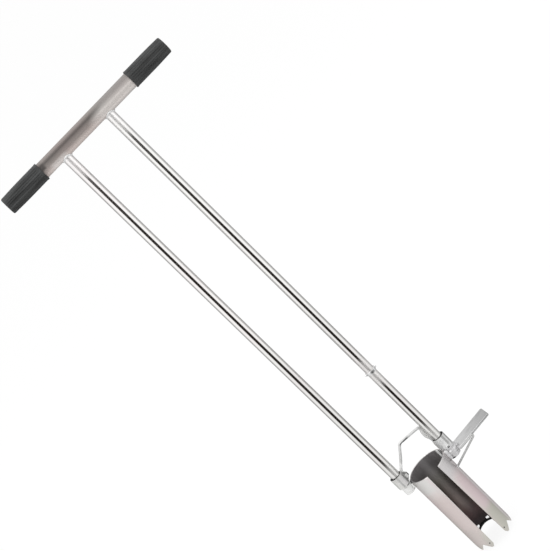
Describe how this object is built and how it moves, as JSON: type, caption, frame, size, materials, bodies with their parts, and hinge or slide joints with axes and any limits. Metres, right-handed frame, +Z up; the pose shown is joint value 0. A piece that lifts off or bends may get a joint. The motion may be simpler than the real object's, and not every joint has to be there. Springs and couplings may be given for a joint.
{
  "type": "long-handled bulb planter",
  "caption": "Long-handled bulb planter: slotted, toothed steel cutter tube with a foot pedal and a T-handle frame whose uprights slide in guide sleeves.",
  "frame": {"origin": "on the cutter tube's axis, level with the tips of the teeth", "axes": "+Z up the handle, -Y out of the tube's front slot, +X toward the foot pedal"},
  "size_m": [0.328, 0.068, 0.933],
  "materials": {
    "steel_tube": "satin",
    "steel_bright": "polished",
    "steel_plain": "satin",
    "steel_fastener": "bright",
    "black_liner": "matte",
    "black_plastic": "matte",
    "grip_rubber": "matte"
  },
  "bodies": {
    "cutter": {"cutter_tube": "steel_tube", "tube_liner": "black_liner", "liner_rivet_left": "steel_fastener", "liner_rivet_right": "steel_fastener", "guide_sleeve_left": "steel_plain", "guide_sleeve_right": "steel_plain", "guide_bush_left": "black_plastic", "guide_bush_right": "black_plastic", "bow_lug_left": "steel_plain", "bow_lug_right": "steel_plain", "bow_rod": "steel_plain", "pedal_band": "steel_plain", "foot_pedal": "steel_plain", "pedal_brace": "steel_plain"},
    "handle_frame": {"upright_left": "steel_bright", "upright_right": "steel_bright", "foot_plug_left": "black_plastic", "foot_plug_right": "black_plastic", "stop_collar": "steel_fastener", "stop_pin": "steel_fastener", "crossbar": "steel_tube", "upright_weld_left": "steel_plain", "upright_weld_right": "steel_plain", "grip_left": "grip_rubber", "grip_right": "grip_rubber"},
    "clamp_screw": {"clamp_screw": "steel_fastener"}
  },
  "joints": [
    {"name": "handle_slide", "type": "slide", "parent": "cutter", "child": "handle_frame", "axis": [0, 0, -1], "range_m": [0, 0.15]},
    {"name": "clamp_screw_turn", "type": "hinge", "parent": "cutter", "child": "clamp_screw", "pos_m": [0.045, -0.0105, 0.166], "axis": [0, -1, 0], "range_deg": [0, 360]}
  ]
}
